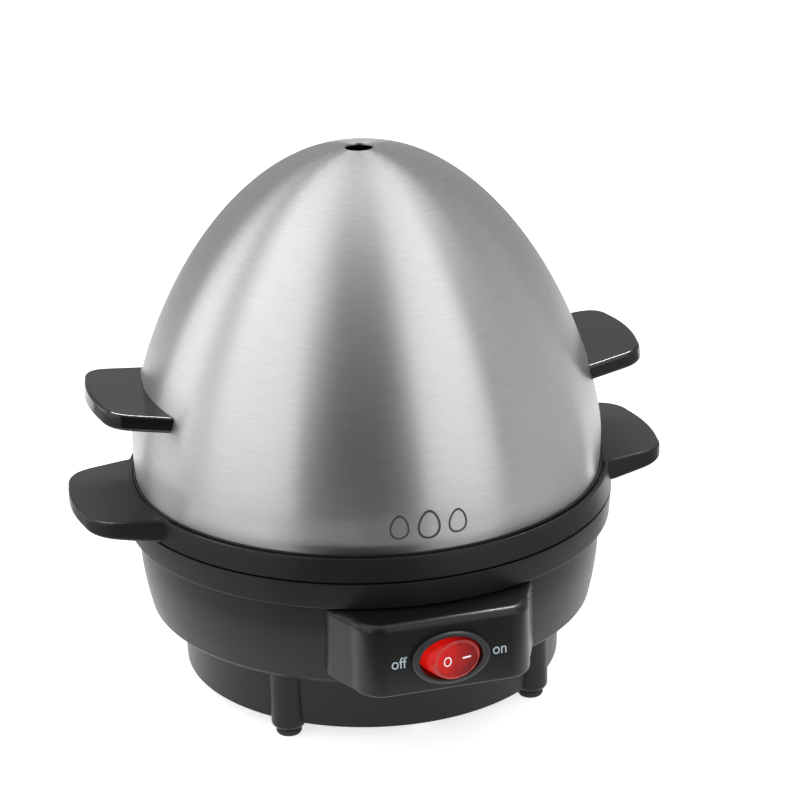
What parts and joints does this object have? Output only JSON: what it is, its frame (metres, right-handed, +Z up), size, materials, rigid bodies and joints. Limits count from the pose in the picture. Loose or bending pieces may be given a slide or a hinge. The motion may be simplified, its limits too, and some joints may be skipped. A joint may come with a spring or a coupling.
{
  "type": "egg cooker",
  "caption": "Round electric egg cooker: brushed steel dome lid with side handles over a black egg tray, on a plastic base with a heated dish, a lit rocker switch in a box and post feet.",
  "frame": {"origin": "on the surface the cooker stands on, under the axis of the dome and base", "axes": "+Z up along the dome's axis; -Y is the front, with the switch box; +X is the right-hand handles as the front is faced"},
  "size_m": [0.2016, 0.1914, 0.1812],
  "materials": {
    "lid_steel": "brushed round the dome, satin",
    "gloss_black": "glossy moulded black",
    "satin_black": "satin moulded charcoal black",
    "grey_plastic": "satin dark grey",
    "red_lens": "clear red moulded lens, lit from behind",
    "rubber_black": "matt rubber",
    "dish_steel": "satin stainless sheet",
    "screw_steel": "zinc plated",
    "terminal_brass": "stamped strip",
    "element_aluminium": "drawn tube, matt",
    "white_ceramic": "glazed ceramic and heat-proof resin",
    "cream_nylon": "natural nylon",
    "lamp_glass": "small neon tube",
    "brown_lead": "smooth insulation",
    "blue_lead": "smooth insulation",
    "green_lead": "green insulation"
  },
  "bodies": {
    "base": {"base_housing": "satin_black", "bottom_cover": "satin_black", "control_box": "satin_black", "switch_bezel": "grey_plastic", "switch_body": "grey_plastic", "neon_lamp": "lamp_glass", "heating_plate": "dish_steel", "plate_gasket": "rubber_black", "heating_element": "element_aluminium", "thermostat": "white_ceramic", "thermostat_bracket": "screw_steel", "thermal_fuse": "white_ceramic", "cord_gland": "rubber_black", "cord_clamp": "cream_nylon", "terminal_block": "cream_nylon", "lead_live": "brown_lead", "lead_neutral": "blue_lead", "lead_switched": "brown_lead", "lead_earth": "green_lead", "bottom_screw_1": "screw_steel", "bottom_screw_2": "screw_steel", "bottom_screw_3": "screw_steel", "bottom_screw_4": "screw_steel", "plate_stud_1": "screw_steel", "plate_nut_1": "screw_steel", "switch_terminal_1": "terminal_brass", "plate_stud_2": "screw_steel", "plate_nut_2": "screw_steel", "switch_terminal_2": "terminal_brass", "plate_stud_3": "screw_steel", "plate_nut_3": "screw_steel", "switch_terminal_3": "terminal_brass", "element_terminal_1": "terminal_brass", "box_screw_1": "screw_steel", "clamp_screw_1": "screw_steel", "element_terminal_2": "terminal_brass", "box_screw_2": "screw_steel", "clamp_screw_2": "screw_steel", "foot_pad_front_left": "rubber_black", "foot_pad_front_right": "rubber_black", "foot_pad_back_right": "rubber_black", "foot_pad_back_left": "rubber_black"},
    "egg_tray": {"egg_tray": "satin_black"},
    "lid": {"lid_dome": "lid_steel", "lid_handle_left": "gloss_black", "lid_handle_right": "gloss_black", "lid_handle_screw_1": "screw_steel", "lid_handle_screw_2": "screw_steel", "lid_handle_screw_3": "screw_steel", "lid_handle_screw_4": "screw_steel"},
    "rocker": {"switch_rocker": "red_lens"}
  },
  "joints": [
    {"name": "tray_lift", "type": "slide", "parent": "base", "child": "egg_tray", "axis": [0, 0, 1], "range_m": [0, 0.07]},
    {"name": "lid_lift", "type": "slide", "parent": "egg_tray", "child": "lid", "axis": [0, 0, 1], "range_m": [0, 0.15]},
    {"name": "rocker_turn", "type": "hinge", "parent": "base", "child": "rocker", "pos_m": [0, -0.0874, 0.0418], "axis": [0, 0, -1], "range_deg": [0, 24]}
  ]
}
